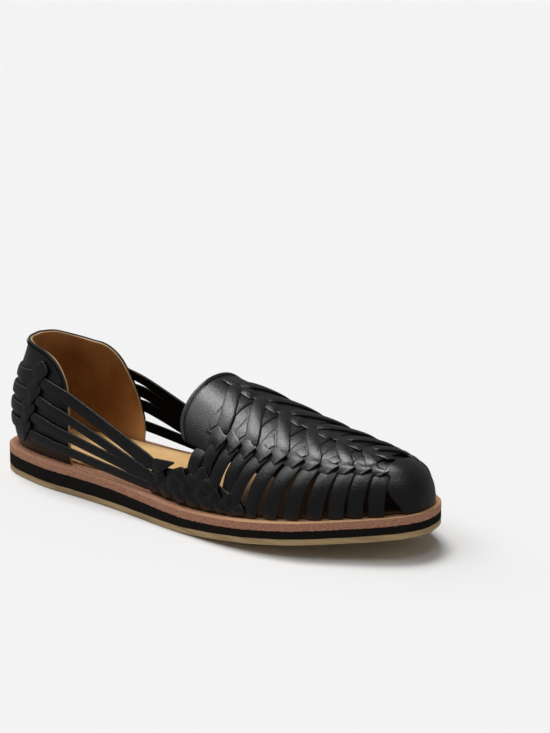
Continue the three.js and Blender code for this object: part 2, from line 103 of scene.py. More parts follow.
class Curve:
    """A smooth curve through the rows of a short table."""

    def __init__(self, *rows: tuple[float, float]) -> None:
        self.at = np.array([row[0] for row in rows], float)
        self.value = np.array([row[1] for row in rows], float)
        low = np.maximum(np.arange(len(rows)) - 1, 0)
        high = np.minimum(np.arange(len(rows)) + 1, len(rows) - 1)
        self.slope = (self.value[high] - self.value[low]) / (self.at[high] - self.at[low])

    @classmethod
    def even(cls, *values: float) -> "Curve":
        """A curve through values that stand evenly from 0 to 1."""
        return cls(*zip(np.linspace(0, 1, len(values)), values))

    def __call__(self, at: Array | float) -> Array:
        """Values of the curve at some places."""
        where = np.clip(at, self.at[0], self.at[-1])
        i = np.clip(np.searchsorted(self.at, where, side="right") - 1, 0, len(self.at) - 2)
        span = self.at[i + 1] - self.at[i]
        u = (where - self.at[i]) / span
        u2, u3 = u * u, u * u * u
        start = (2 * u3 - 3 * u2 + 1) * self.value[i] + (u3 - 2 * u2 + u) * self.slope[i] * span
        return start + (3 * u2 - 2 * u3) * self.value[i + 1] + (u3 - u2) * self.slope[i + 1] * span


def unit(vectors: Array) -> Array:
    """The same directions with a length of one."""
    return vectors / np.maximum(np.linalg.norm(vectors, axis=-1, keepdims=True), 1e-9)


def arch(share: Array) -> Array:
    """Rises from 0 at both borders to 1 in the middle."""
    return 1 - (2 * share - 1) ** 2


def distances(points: Array) -> Array:
    """Distances of points from the first of them, along their line."""
    return np.concatenate([[0], np.cumsum(np.linalg.norm(np.diff(points, axis=0), axis=1))])


def evenly(points: Array, count: int) -> Array:
    """Points at even distances along a line of points."""
    length = distances(points)
    even = np.linspace(0, length[-1], count)
    return np.stack([np.interp(even, length, points[:, i]) for i in range(3)], -1)


class Sole:
    """Outline and layer heights of the sole."""

    along = (0, 0.012, 0.05, 0.11, 0.18, 0.26, 0.34, 0.42, 0.5, 0.58, 0.66, 0.74, 0.82, 0.89, 0.945, 0.982, 1)
    outer = (0, 0.205, 0.35, 0.44, 0.503, 0.53, 0.55, 0.53, 0.506, 0.491, 0.504, 0.497, 0.439, 0.33, 0.229,
             0.134, 0)
    inner = (0, 0.24, 0.39, 0.47, 0.495, 0.47, 0.438, 0.417, 0.421, 0.445, 0.488, 0.505, 0.472, 0.402, 0.3,
             0.186, 0)

    def __init__(self) -> None:
        angles = [math.acos(1 - 2 * value) for value in self.along]
        self.outer_curve = Curve(*zip(angles, self.outer))
        self.inner_curve = Curve(*zip(angles, self.inner))

    def local_width(self, along: Array) -> Array:
        """Width that the outline's shares are taken of, at shares of the length."""
        return SIZES.heel_width + (SIZES.ball_width - SIZES.heel_width) * smooth_step(0.3, 0.62, along)

    def half_width(self, along: Array, side: Array, inset: float) -> Array:
        """Half width of an outline drawn in from the sole's edge, on one side of the middle line."""
        angle = np.arccos(1 - 2 * np.clip(along, 0, 1))
        share = np.where(side < 0, self.outer_curve(angle), self.inner_curve(angle))
        width = self.local_width(along)
        return share * width * (1 - 2 * inset / width)

    def toe_inset(self, inset: float) -> float:
        """How far an outline is drawn in at the toe."""
        return inset - (SIZES.ledge - SIZES.toe_ledge) * min(max(inset / SIZES.ledge, 0), 1)

    def inset_x(self, along: Array, inset: float) -> Array:
        """Place along the shoe of a share of a drawn-in outline."""
        return inset + (SIZES.length - inset - self.toe_inset(inset)) * along

    def inset_along(self, x: Array, inset: float) -> Array:
        """Share of a drawn-in outline at a place along the shoe."""
        return np.clip((x - inset) / (SIZES.length - inset - self.toe_inset(inset)), 0, 1)

    def ground(self, x: Array) -> Array:
        """Height of the underside over the floor."""
        start = 0.56 * SIZES.length
        return SIZES.toe_spring * np.clip((x - start) / (SIZES.length - start), 0, 1) ** 1.12

    def outsole_top(self, x: Array) -> Array:
        """Height of the joint between outsole and midsole."""
        return self.ground(x) + SIZES.outsole

    def midsole_top(self, x: Array) -> Array:
        """Height of the joint between midsole and welt."""
        share = smooth_step(0.3, 0.69, x / SIZES.length)
        return self.outsole_top(x) + SIZES.midsole_heel + (SIZES.midsole_toe - SIZES.midsole_heel) * share

    def welt_top(self, x: Array) -> Array:
        """Height of the welt's top face."""
        return self.midsole_top(x) + SIZES.welt


SOLE = Sole()


class Vamp:
    """Outer surface of the front of the upper; side runs from -1 at the outer edge over the ridge to 1."""

    ridge = Curve((0.4, 1.2), (0.48, 1.1), (0.54, 1), (0.6, 0.85), (0.667, 0.65), (0.75, 0.41), (0.83, 0.24),
                  (0.9, 0.11), (0.98, 0))

    def surface(self, x: Array, side: Array) -> Array:
        """Points of the surface at places along the shoe and side shares."""
        x, side = np.broadcast_arrays(np.asarray(x, float), np.asarray(side, float))
        along = SOLE.inset_along(x, SIZES.ledge)
        dome = np.clip((x - (SIZES.length - SIZES.toe_ledge - SIZES.dome)) / SIZES.dome, 0, 1)
        share = (1 - dome ** SIZES.toe_roundness) ** (1 / SIZES.toe_roundness)
        rise = SIZES.toe_rise + (SIZES.instep_rise - SIZES.toe_rise) * self.ridge(x / SIZES.length)
        angle = np.clip(np.abs(side), 0, 1) * math.pi / 2
        across = np.sin(angle) ** (2 / SIZES.section_roundness)
        up = np.maximum(np.cos(angle), 0) ** (2 / SIZES.section_roundness)
        half = SOLE.half_width(along, side, SIZES.ledge)
        floor = SOLE.welt_top(x) + SIZES.layer_gap
        return np.stack([x, np.sign(side) * half * across, floor + rise * share * up], -1)

    def normal(self, x: Array, side: Array) -> Array:
        """Outward directions at places along the shoe and side shares."""
        x, side = np.broadcast_arrays(np.asarray(x, float), np.asarray(side, float))
        reach = np.minimum(x, SIZES.length - SIZES.toe_ledge - 0.55)
        step_x = self.surface(reach + 0.5, side) - self.surface(reach - 0.5, side)
        low, high = np.maximum(side - 0.01, -1), np.minimum(side + 0.01, 1)
        return unit(np.cross(step_x, self.surface(reach, high) - self.surface(reach, low)))

    def over(self, x: Array, side: Array, lift: Array | float) -> Placed:
        """Points at a height over the surface, and the outward directions there."""
        outward = self.normal(x, side)
        return self.surface(x, side) + outward * np.asarray(lift)[..., None], outward

    def side_at_rise(self, x: float, rise: float) -> float:
        """Side share where the wall has a height over the welt."""
        ridge = float(self.surface(x, 0.0)[2] - SOLE.welt_top(np.array(x)))
        up = min(max(rise / ridge, 0), 1)
        return 1 - math.asin(up ** (SIZES.section_roundness / 2)) * 2 / math.pi


VAMP = Vamp()


class Counter:
    """Heel wall: around runs from -1 at the outer front edge over the back to 1 at the inner front edge."""

    bulge = Curve((0, 0), (0.13, 0.7), (0.3, 1), (0.5, 0.75), (0.7, 0.3), (0.85, 0.1), (1, 0))
    lean = Curve((0, 0), (0.13, 0), (0.3, 0), (0.5, 0.08), (0.7, 0.34), (0.85, 0.66), (1, 1))
    outer_rim = Curve((0, 1), (0.3, 0.995), (0.5, 0.985), (0.65, 0.96), (0.77, 0.93), (0.86, 0.875),
                      (0.93, 0.78), (0.97, 0.67), (1, 0.42))
    inner_rim = Curve((0, 1), (0.3, 0.98), (0.5, 0.93), (0.65, 0.895), (0.77, 0.862), (0.86, 0.75),
                      (0.93, 0.525), (0.97, 0.34), (1, 0.14))

    def rim(self, around: Array) -> Array:
        """Height of the rim, as shares of the collar's height."""
        return np.where(around < 0, self.outer_rim(np.abs(around)), self.inner_rim(np.abs(around)))

    def foot(self, around: Array) -> Array:
        """Foot of the wall in plan."""
        front = np.where(around < 0, SIZES.front_outer, SIZES.front_inner)
        edge = np.arccos(1 - 2 * SOLE.inset_along(front, SIZES.ledge))
        along = (1 - np.cos(np.abs(around) * edge)) / 2
        side = np.where(around < 0, -1.0, 1.0)
        y = side * SOLE.half_width(along, side, SIZES.ledge)
        return np.stack([SOLE.inset_x(along, SIZES.ledge), y], -1)

    def point(self, around: Array, up: Array, lift: Array | float) -> Array:
        """Points on or over the wall, up being a share of the collar's height."""
        around, up, lift = np.broadcast_arrays(*(np.asarray(v, float) for v in (around, up, lift)))
        run = self.foot(around + 0.02) - self.foot(around - 0.02)
        outward = unit(np.stack([-run[..., 1], run[..., 0]], -1))
        share = smooth_step(0.15, 0.6, np.abs(around))
        bulge = SIZES.heel_bulge + (SIZES.side_bulge - SIZES.heel_bulge) * share
        lean = SIZES.lean_back + (SIZES.lean_side - SIZES.lean_back) * share
        offset = bulge * self.bulge(up) - lean * self.lean(up) + lift
        plan = self.foot(around) + outward * offset[..., None]
        floor = SOLE.welt_top(plan[..., 0]) + SIZES.layer_gap
        return np.concatenate([plan, (floor + up * SIZES.collar)[..., None]], -1)

    def normal(self, around: Array, up: Array) -> Array:
        """Outward directions on the wall."""
        upward = self.point(around, up + 0.01, 0) - self.point(around, up - 0.01, 0)
        return unit(np.cross(upward, self.point(around + 0.01, up, 0) - self.point(around - 0.01, up, 0)))

    def over(self, around: Array, up: Array, lift: Array | float) -> Placed:
        """Points over the wall, and the outward directions there."""
        return self.point(around, up, lift), self.normal(around, np.clip(up, 0.02, 0.98))


COUNTER = Counter()


class Sock:
    """A shader value that takes part in arithmetic."""

    def __init__(self, graph: "Graph", socket: bpy.types.NodeSocket) -> None:
        self.graph, self.socket = graph, socket

    def math(self, operation: str, *others: "Sock | float") -> "Sock":
        """Joins this value with others in a maths node."""
        values = dict(enumerate((self, *others)))
        return self.graph.node("ShaderNodeMath", {"operation": operation}, values)

    def __add__(self, other: "Sock | float") -> "Sock":
        return self.math("ADD", other)

    def __mul__(self, other: "Sock | float") -> "Sock":
        return self.math("MULTIPLY", other)

    def __sub__(self, other: "Sock | float") -> "Sock":
        return self.math("SUBTRACT", other)

    def __rsub__(self, other: float) -> "Sock":
        return self.math("MULTIPLY", -1.0) + other

    __radd__, __rmul__ = __add__, __mul__

    def between(self, low: float, high: float) -> "Sock":
        """Eases from 0 to 1 between two of this value's levels."""
        values = {0: self, 1: low, 2: high, 3: 0.0, 4: 1.0}
        return self.graph.node("ShaderNodeMapRange", {"interpolation_type": "SMOOTHSTEP"}, values)


class Graph:
    """The shader nodes of one material."""

    def __init__(self, name: str) -> None:
        self.material = bpy.data.materials.new(name)
        self.material.use_nodes = True
        self.tree = self.material.node_tree
        self.shader = self.tree.nodes["Principled BSDF"]
        self.place = self.node("ShaderNodeTexCoord", output="Object")

    def node(self, kind: str, settings: dict | None = None, values: dict | None = None,
             output: int | str = 0) -> Sock:
        """Adds a node.

        Args:
            kind: Type of the node.
            settings: Its own settings.
            values: Values or links of its sockets, by name or number.
            output: The socket to give back.

        Returns:
            The chosen output.
        """
        made = self.tree.nodes.new(kind)
        for key, value in (settings or {}).items():
            setattr(made, key, value)
        for key, value in (values or {}).items():
            self.feed(made.inputs[key], value)
        return Sock(self, made.outputs[output])

    def feed(self, socket: bpy.types.NodeSocket, value: object) -> None:
        """Links a value to a socket, or sets the socket's own value."""
        if isinstance(value, Sock):
            self.tree.links.new(value.socket, socket)
        elif isinstance(value, tuple) and len(value) == 3 and socket.type == "RGBA":
            socket.default_value = (*value, 1)
        else:
            socket.default_value = value

    def stretched(self, scale: tuple[float, float, float]) -> Sock:
        """Object coordinates scaled along each axis."""
        return self.node("ShaderNodeVectorMath", {"operation": "MULTIPLY"}, {0: self.place, 1: scale})

    def noise(self, scale: float, detail: float = 3, vector: Sock | None = None) -> Sock:
        """Noise of a scale in waves a metre."""
        values = {"Vector": vector or self.place, "Scale": scale, "Detail": detail}
        return self.node("ShaderNodeTexNoise", None, values)

    def cells(self, scale: float) -> Sock:
        """Distance in a cell pattern, as the pores of a hide have it."""
        return self.node("ShaderNodeTexVoronoi", None, {"Vector": self.place, "Scale": scale})

    def attribute(self, name: str) -> Sock:
        """A value stored in the mesh."""
        return self.node("ShaderNodeAttribute", {"attribute_name": name}, output="Fac")

    def split(self, vector: Sock) -> tuple[Sock, Sock, Sock]:
        """The three parts of a vector."""
        made = self.node("ShaderNodeSeparateXYZ", None, {0: vector}, "X")
        return tuple(Sock(self, made.socket.node.outputs[i]) for i in range(3))

    def blend(self, share: Sock | float, first: object, second: object) -> Sock:
        """Mixes two colours."""
        return self.node("ShaderNodeMix", {"data_type": "RGBA"}, {0: share, 6: first, 7: second}, 2)

    def done(self, base: object, rough: object, specular: float, height: Sock | None = None,
             depth: float = 0.0) -> Material:
        """Feeds the shader.

        Args:
            base: Base colour.
            rough: Roughness.
            specular: Level of its plain reflections, 0.5 being the usual one.
            height: Relief of the surface, if it has one.
            depth: Full height of the relief in metres.

        Returns:
            The material.
        """
        values = {"Base Color": base, "Roughness": rough, "Specular IOR Level": specular}
        if height is not None:
            relief = {"Strength": 1.0, "Distance": depth, "Height": height}
            values["Normal"] = self.node("ShaderNodeBump", None, relief)
        for name, value in values.items():
            self.feed(self.shader.inputs[name], value)
        return self.material


FLOOR_ALBEDO = 0.87


def linear(red: float, green: float, blue: float, boost: float = 1.0) -> tuple[float, float, float]:
    """Turns a colour of a picture, 0 to 255, into a base colour.

    Args:
        red: Red of the picture's colour.
        green: Its green.
        blue: Its blue.
        boost: How much less light the surface gets than the floor.

    Returns:
        The base colour.
    """
    parts = [value / 255 for value in (red, green, blue)]
    return tuple((v / 12.92 if v <= 0.04045 else ((v + 0.055) / 1.055) ** 2.4) * boost for v in parts)


class Finish(Enum):
    """Finishes of the sandal's surfaces."""

    BLACK = "black_leather"
    SMOOTH = "smooth_leather"
    CUT = "cut_black_edge"
    THREAD = "black_thread"
    LINING = "lining_leather"
    RIM = "lining_edge"
    TAN = "tan_leather"
    INSOLE = "insole_leather"
    WELT = "welt_edge"
    FOAM = "foam_rubber"
    GUM = "gum_rubber"
    FLOOR = "floor"


@dataclass
class Finishes:
    """Makes each finish once."""

    made: dict[Finish, Material] = field(default_factory=dict)

    def get(self, finish: Finish) -> Material:
        """Gives the material of a finish."""
        if finish not in self.made:
            self.made[finish] = getattr(self, finish.name.lower())(Graph(finish.value))
        return self.made[finish]

    def hide(self, graph: Graph, dark: tuple, light: tuple, rough: float, pore: float) -> Material:
        """Black grained leather: cloudy gloss, fine pores, faint creases and lighter edges, worn on the
        strips and a painted highlight on the throat panel's turned edge.
        """
        cloud = graph.noise(70, 4)
        grain = graph.cells(1100)
        fine = graph.noise(3000, 2)
        crease = graph.noise(260, 5, graph.stretched((1.0, 0.35, 0.6)))
        across = graph.attribute("edge")
        tone = graph.attribute("tone")
        base = graph.blend(cloud.between(0.35, 0.7) * 0.6 + tone * 0.4, dark, light)
        # Lighter edges: worn cut edges on the strips, and a painted highlight along the throat panel's turned
        # edge.
        base = graph.blend(across.between(0.86, 1.0) * 0.55, base, tuple(v * 2.6 for v in light))
        height = grain * 0.55 + fine * 0.4 + crease * 0.25
        gloss = rough + cloud * 0.07 + fine * 0.05 + tone * 0.05
        return graph.done(base, gloss, 0.6, height, pore)

    def black(self, graph: Graph) -> Material:
        """Strips of black leather."""
        return self.hide(graph, linear(7, 7, 8), linear(20, 20, 21), 0.2, 0.00018)

    def smooth(self, graph: Graph) -> Material:
        """Smoother black leather of the tongue and the toe cap."""
        return self.hide(graph, linear(7, 7, 8), linear(18, 18, 19), 0.21, 0.00016)

    def fibrous(self, graph: Graph, scale: float, dark: tuple, light: tuple, rough: float,
                depth: float) -> Material:
        """Cut edge of leather, with the ends of its fibres."""
        fibre = graph.noise(scale)
        return graph.done(graph.blend(fibre, dark, light), rough, 0.5, fibre, depth)

    def cut(self, graph: Graph) -> Material:
        """Cut edges of the black strips, a little lighter than their faces."""
        return self.fibrous(graph, 2600, linear(10, 9, 8), linear(36, 33, 30), 0.72, 0.00018)

    def thread(self, graph: Graph) -> Material:
        """Waxed black thread."""
        return graph.done(linear(5, 5, 5), 0.8, 0.05)

    def lining(self, graph: Graph) -> Material:
        """Brown lining, cloudy, lighter towards the rim and low at the front, wrinkled near the floor."""
        x, _, z = graph.split(graph.place)
        cloud = graph.noise(38, 5)
        low = 1 - z.between(0.02, 0.045)
        front = x.between(-0.1, -0.072)
        high = z.between(0.062, 0.084)
        share = cloud.between(0.3, 0.75) * 0.35 + low * front * 0.85 + high * 0.35
        base = graph.blend(share, linear(134, 80, 30), linear(204, 150, 94))
        wrinkle = graph.noise(190, 4, graph.stretched((0.5, 1.0, 1.6)))
        height = graph.cells(1300) * 0.25 + wrinkle * (low * 1.6 + 0.25) + graph.noise(3000, 2) * 0.2
        return graph.done(base, 0.52 + cloud * 0.12, 0.35, height, 0.0002)

    def rim(self, graph: Graph) -> Material:
        """Pale cut edge of the lining."""
        return self.fibrous(graph, 2400, linear(176, 136, 92), linear(224, 194, 150), 0.7, 0.00015)

    def veg(self, graph: Graph, dark: tuple, light: tuple) -> Material:
        """Vegetable-tanned leather with faint clouds and pores."""
        cloud = graph.noise(30, 5)
        grain = graph.cells(1200) * 0.5 + graph.noise(3200, 2) * 0.4
        base = graph.blend(cloud.between(0.3, 0.7), dark, light)
        return graph.done(base, 0.5 + cloud * 0.14, 0.35, grain, 0.00008)

    def tan(self, graph: Graph) -> Material:
        """Top face of the welt."""
        x, y, _ = graph.split(graph.place)
        pale = x.between(0.005, 0.035).math("MAXIMUM", y.between(-0.004, 0.004) * x.between(-0.14, -0.12))
        dark = graph.blend(pale, linear(88, 58, 45), linear(200, 162, 114))
        return self.veg(graph, dark, graph.blend(pale, linear(122, 84, 66), linear(214, 180, 132)))

    def insole(self, graph: Graph) -> Material:
        """Insole, the colour of natural leather, with painted shade that darkens it towards the front under
        the vamp.
        """
        x, _, _ = graph.split(graph.place)
        # Painted shade: darkens the insole from the throat forward, where the closed vamp keeps light out.
        under = x.between(-0.012, 0.045) * 0.97
        bright = graph.blend(under, linear(232, 192, 134, 1.08), linear(96, 60, 34))
        return self.veg(graph, graph.blend(under, linear(212, 170, 110, 1.08), linear(76, 46, 24)), bright)

    def welt(self, graph: Graph) -> Material:
        """Cut side of the welt: pink-brown fibres, with foam smeared over its lower border."""
        fibre = graph.noise(1300, 5, graph.stretched((0.5, 0.5, 1.6)))
        speck = graph.noise(2600, 3)
        share = fibre * 0.45 + speck * 0.55
        base = graph.blend(share.between(0.32, 0.68), linear(116, 76, 60, 1.35), linear(172, 126, 102, 1.35))
        rise = graph.attribute("rise")
        ragged = rise + (graph.noise(520, 4) - 0.5) * 0.34
        base = graph.blend(1 - ragged.between(0.02, 0.1), base, linear(32, 28, 25))
        x, _, _ = graph.split(graph.place)
        top = (rise + (graph.noise(700, 3) - 0.5) * 0.1).between(0.9, 1.0)
        base = graph.blend(top * (0.12 + 0.55 * x.between(0.02, 0.08)), base, linear(196, 158, 116, 1.2))
        return graph.done(base, 0.85, 0.25, fibre * 0.7 + speck * 0.5, 0.0004)

    def foam(self, graph: Graph) -> Material:
        """Black foam with a rough, sanded side."""
        pore = graph.cells(1100)
        speck = graph.noise(2400, 3)
        base = graph.blend(speck.between(0.35, 0.8), linear(12, 10, 8), linear(36, 31, 27))
        return graph.done(base, 0.9, 0.2, pore * 0.6 + speck * 0.6, 0.00035)

    def gum(self, graph: Graph) -> Material:
        """Gum crepe rubber, brownish, with soft flow marks."""
        flow = graph.noise(160, 4, graph.stretched((0.25, 0.25, 3.0)))
        speck = graph.noise(1500, 3)
        base = graph.blend(flow.between(0.3, 0.7), linear(146, 122, 88, 1.1), linear(176, 150, 106, 1.1))
        return graph.done(base, 0.62, 0.35, flow * 0.5 + speck * 0.5, 0.0003)

    def floor(self, graph: Graph) -> Material:
        """Plain pale floor."""
        return graph.done((FLOOR_ALBEDO,) * 3, 1.0, 0.0)


FINISHES = Finishes()


def add_object(name: str, content: bpy.types.ID) -> bpy.types.Object:
    """Makes an object and puts it into the scene."""
    made = bpy.data.objects.new(name, content)
    bpy.context.scene.collection.objects.link(made)
    return made


@dataclass
class Piece:
    """A named piece of the sandal, made of patches of leather or rubber."""

    name: str
    finishes: tuple[Finish, ...]
    thickness: float = 0.0
    rounding: float = 0.0
    inner_slot: int = 0
    rim_slot: int = 0
    node: str = "upper"
    slot: str = "black_leather"
    mesh: bmesh.types.BMesh = field(default_factory=bmesh.new)

    def __post_init__(self) -> None:
        layers = self.mesh.verts.layers.float
        for name in ("tone", "edge", "rise"):
            layers.new(name)

    def patch(self, columns: int, rows: int, place: Place, tone: float = 0.5) -> None:
        """Adds a patch.

        Args:
            columns: Faces across it.
            rows: Faces along it.
            place: Gives points and outward directions at shares across and along.
            tone: How light its leather is, 0 to 1.
        """
        made = bmesh.ops.create_grid(self.mesh, x_segments=columns, y_segments=rows, size=1.0)["verts"]
        flat = np.array([vertex.co[:2] for vertex in made])
        u, v = (flat[:, 0] + 1) / 2, (flat[:, 1] + 1) / 2
        points, outward = place(u, v)
        layers = self.mesh.verts.layers.float
        for vertex, point, across, along in zip(made, (points - MIDDLE) / PER_METRE, u, v):
            vertex.co = point
            vertex[layers["tone"]] = tone
            vertex[layers["edge"]] = abs(2 * across - 1)
            vertex[layers["rise"]] = along
        faces = self.dress(made, 0)
        self.mesh.normal_update()
        middle = len(made) // 2
        if made[middle].normal.dot(Vector(outward[middle])) < 0:
            bmesh.ops.reverse_faces(self.mesh, faces=faces)

    def dress(self, made: list[bmesh.types.BMVert], finish: int) -> list[bmesh.types.BMFace]:
        """Gives new faces smooth shading and their finish, and lists them."""
        faces = list({face for vertex in made for face in vertex.link_faces})
        for face in faces:
            face.smooth = True
            face.material_index = finish
        return faces

    def beads(self, points: Array, length: float, width: float, finish: int = 0) -> None:
        """Adds stitches along a line of points."""
        half_length, half_width = length / (2 * PER_METRE), width / (2 * PER_METRE)
        runs = unit(np.gradient(points, axis=0))
        for point, run in zip((points - MIDDLE) / PER_METRE, runs):
            turn = Vector(run).to_track_quat("X", "Z").to_matrix().to_4x4()
            shape = Matrix.Diagonal((half_length, half_width, half_width, 1))
            move = Matrix.Translation(Vector(point)) @ turn @ shape
            made = bmesh.ops.create_icosphere(self.mesh, subdivisions=1, radius=1.0, matrix=move)["verts"]
            self.dress(made, finish)

    def unworn(self) -> None:
        """Takes the lighter worn edge away."""
        for vertex in self.mesh.verts:
            vertex[self.mesh.verts.layers.float["edge"]] = 0

    def done(self) -> None:
        """Makes the piece's object, on the shoe's body and in place of its node."""
        mesh = bpy.data.meshes.new(self.name)
        self.mesh.to_mesh(mesh)
        self.mesh.free()
        for finish in self.finishes:
            mesh.materials.append(FINISHES.get(finish))
        made = add_object(self.name, mesh)
        if self.thickness:
            solid = made.modifiers.new("thickness", "SOLIDIFY")
            solid.thickness, solid.offset = self.thickness / PER_METRE, -1
            solid.material_offset, solid.material_offset_rim = self.inner_slot, self.rim_slot
        if self.rounding:
            soft = made.modifiers.new("rounding", "BEVEL")
            soft.width, soft.segments = self.rounding / PER_METRE, 2
            soft.limit_method, soft.angle_limit = "ANGLE", math.radians(40)
        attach(made, "root")
        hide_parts(self.node)


def strips(name: str, thickness: float, rounding: float) -> Piece:
    """A piece of the upper that is made of black strips with cut edges."""
    return Piece(name, (Finish.BLACK, Finish.CUT), thickness, rounding, 0, 1)


def tone_of(number: int) -> float:
    """An even spread of leather tones for numbered strips."""
    return (number * 0.618 + 0.2) % 1


@dataclass
class Strip:
    """A strip on the vamp, along places (x, side) with its width and height over the surface at each."""

    path: tuple[tuple[float, float], ...]
    width: tuple[float, ...]
    lift: tuple[float, ...]
    crown: float
    side: float
    tilt: float = 0.0

    def place(self, u: Array, v: Array) -> Placed:
        """Points and outward directions at shares across and along the strip."""
        x_at, side_at = (Curve.even(*values) for values in zip(*self.path))
        width_at, lift_at = Curve.even(*self.width), Curve.even(*self.lift)
        here, before, after = (VAMP.surface(x_at(at), self.side * side_at(at))
                               for at in (v, np.clip(v - 0.02, 0, 1), np.clip(v + 0.02, 0, 1)))
        outward = VAMP.normal(x_at(v), self.side * side_at(v))
        across = unit(np.cross(unit(after - before), outward))
        crown = self.crown * arch(u) + self.tilt * (u - 0.5) * np.sign(across[:, 0])
        points = here + across * ((u - 0.5) * width_at(v))[:, None]
        return points + outward * (lift_at(v) + crown)[:, None], outward


def straight(first: tuple[float, float], last: tuple[float, float], shares: tuple[float, ...]) -> tuple:
    """Places (x, side) at shares of the way between two of them."""
    return tuple(tuple(a + (b - a) * share for a, b in zip(first, last)) for share in shares)


def leaf(corners: tuple, lifts: tuple, side: float, crown: float, blunt: float = 0.14,
         curl: float = 0.0) -> Place:
    """A four-cornered fold of leather on the vamp.

    Args:
        corners: Places (x, side) in order round it.
        lifts: Height over the surface at each corner.
        side: Side of the shoe, -1 or 1.
        crown: Extra height in its middle.
        blunt: How much its corners are drawn in.
        curl: How much its far edge turns up.

    Returns:
        Its points and outward directions at shares across and along.
    """
    def place(u: Array, v: Array) -> Placed:
        weights = (1 - u) * (1 - v), u * (1 - v), u * v, (1 - u) * v
        x, share, lift = (sum(weight * value for weight, value in zip(weights, values))
                          for values in (*zip(*corners), lifts))
        lift = lift + crown * np.sin(u * math.pi) * np.sin(v * math.pi) + curl * v ** 3
        a, b = np.abs(2 * u - 1), np.abs(2 * v - 1)
        draw = 1 + 0.09 * np.maximum(a, b) ** 4 - blunt * (a * b) ** 4
        middle_x, middle_share = (sum(values) / 4 for values in zip(*corners))
        share = np.clip(middle_share + (share - middle_share) * draw, -1, 1)
        return VAMP.over(middle_x + (x - middle_x) * draw, side * share, lift)

    return place


class SoleLayers:
    """Outsole, midsole, welt and insole as rounded slabs."""

    def slab(self, piece: Piece, inset: float, bottom: Callable, top: Callable, rounding: float,
             wobble: float, side_finish: int) -> None:
        """Adds a slab between two heights with rounded borders and a slightly uneven cut side."""
        arc = [(rounding * (1 - math.sin(turn)), rounding * (1 - math.cos(turn)))
               for turn in np.linspace(0, math.pi / 2, 4)]
        low = [(draw, 0, height) for draw, height in arc]
        rise = [(0, share, 0) for share in np.linspace(0.2, 0.8, 4)]
        high = [(draw, 1, -height) for draw, height in reversed(arc)]
        inner = (0.25, 0.6, 1.0)
        profile = [(0, 0, 0, 1 - share) for share in reversed(inner)]
        profile += [(*row, 1) for row in low + rise + high]
        profile += [(0, 1, 0, 1 - share) for share in inner]
        table = np.array(profile)

        def place(u: Array, v: Array) -> Placed:
            row = table[np.rint(v * (len(table) - 1)).astype(int)]
            angle = u * 2 * math.pi
            along, side = (1 - np.cos(angle)) / 2, np.where(angle < math.pi, 1.0, -1.0)
            uneven = np.sin(angle * 23) + np.sin(angle * 41 + row[:, 1] * 3) + np.sin(angle * 67 + 1)
            x = SOLE.inset_x(along, inset)
            y = side * SOLE.half_width(along, side, inset) * row[:, 3]
            outward = unit(np.stack([(x - MIDDLE[0]) * 0.25, y], -1))
            draw = row[:, 0] + wobble * uneven / 3 * (row[:, 3] == 1)
            z = bottom(x) + (top(x) - bottom(x)) * row[:, 1] + row[:, 2]
            points = np.stack([x - outward[:, 0] * draw, y - outward[:, 1] * draw, z], -1)
            facing = np.stack([outward[:, 0], outward[:, 1], np.zeros_like(x)], -1)
            return points, facing

        piece.patch(360, len(table) - 1, place)
        bmesh.ops.remove_doubles(piece.mesh, verts=piece.mesh.verts[:], dist=0.000002)
        bmesh.ops.recalc_face_normals(piece.mesh, faces=piece.mesh.faces[:])
        piece.mesh.normal_update()
        for face in piece.mesh.faces:
            face.material_index = side_finish if face.normal.z < 0.85 else 0
        rise = piece.mesh.verts.layers.float["rise"]
        for vertex in piece.mesh.verts:
            x = np.array(vertex.co.x * PER_METRE + MIDDLE[0])
            vertex[rise] = (vertex.co.z * PER_METRE - float(bottom(x))) / float(top(x) - bottom(x))

    def build(self) -> None:
        """Builds the four layers."""
        inset = SIZES.ledge + SIZES.wall + SIZES.insole_room

        def floor(x: Array) -> Array:
            return SOLE.welt_top(x) + SIZES.layer_gap

        rows = (
            ("outsole_crepe", "outsole", "gum_rubber", (Finish.GUM,),
             0, SOLE.ground, SOLE.outsole_top, 0.5, 0.12),
            ("midsole_foam", "midsole", "black_foam", (Finish.FOAM,),
             0, SOLE.outsole_top, SOLE.midsole_top, 0.2, 0.15),
            ("welt_leather", "welt", "sole_leather", (Finish.TAN, Finish.WELT),
             0, SOLE.midsole_top, SOLE.welt_top, 0.45, 0.1),
            ("insole_leather", "insole", "tan_leather", (Finish.INSOLE,),
             inset, floor, lambda x: floor(x) + SIZES.insole, 0.4, 0),
        )
        for name, node, slot, finishes, drawn, bottom, top, rounding, wobble in rows:
            piece = Piece(name, finishes, node=node, slot=slot)
            self.slab(piece, drawn, bottom, top, rounding, wobble, len(finishes) - 1)
            piece.done()


